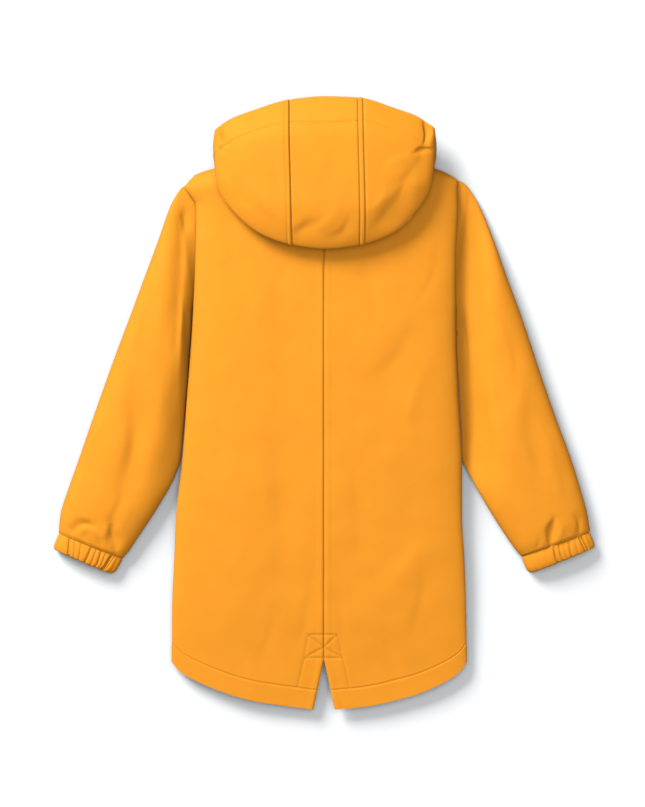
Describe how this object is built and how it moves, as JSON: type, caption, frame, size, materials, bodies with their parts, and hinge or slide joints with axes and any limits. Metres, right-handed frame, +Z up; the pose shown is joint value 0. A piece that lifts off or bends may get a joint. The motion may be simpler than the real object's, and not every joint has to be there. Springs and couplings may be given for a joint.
{
  "type": "child's softshell parka laid flat",
  "caption": "Hooded softshell parka for a child, laid front down: split back with vent, gathered cuffs, zip front, open hem, cuffs and hood.",
  "frame": {"origin": "middle of the parka's bounding box, on the surface that it lies on", "axes": "+Y from the hem towards the hood, +X to the right across the back, +Z up from the surface"},
  "size_m": [0.6522, 0.7366, 0.0679],
  "materials": {
    "softshell": "matt bonded softshell with a fine woven face",
    "cuff_elastic": "matt softshell gathered on elastic",
    "zip_tape": "woven polyester tape",
    "zip_teeth": "moulded plastic coil",
    "zip_metal": "satin nickel"
  },
  "bodies": {
    "garment": {"back_left": "softshell", "back_right": "softshell", "front_left": "softshell", "front_right": "softshell", "sleeve_left": "softshell", "sleeve_right": "softshell", "cuff_left": "cuff_elastic", "cuff_right": "cuff_elastic", "hood_center": "softshell", "hood_side_left": "softshell", "hood_side_right": "softshell", "zip_tape_left": "zip_tape", "zip_tape_right": "zip_tape", "zip_chain": "zip_teeth", "zip_slider": "zip_metal"},
    "pull_tab": {"zip_pull": "zip_metal"}
  },
  "joints": [
    {"name": "pull_tab_swing", "type": "hinge", "parent": "garment", "child": "pull_tab", "pos_m": [0, 0.2831, 0.0025], "axis": [1, 0, 0], "range_deg": [0, 150]}
  ]
}
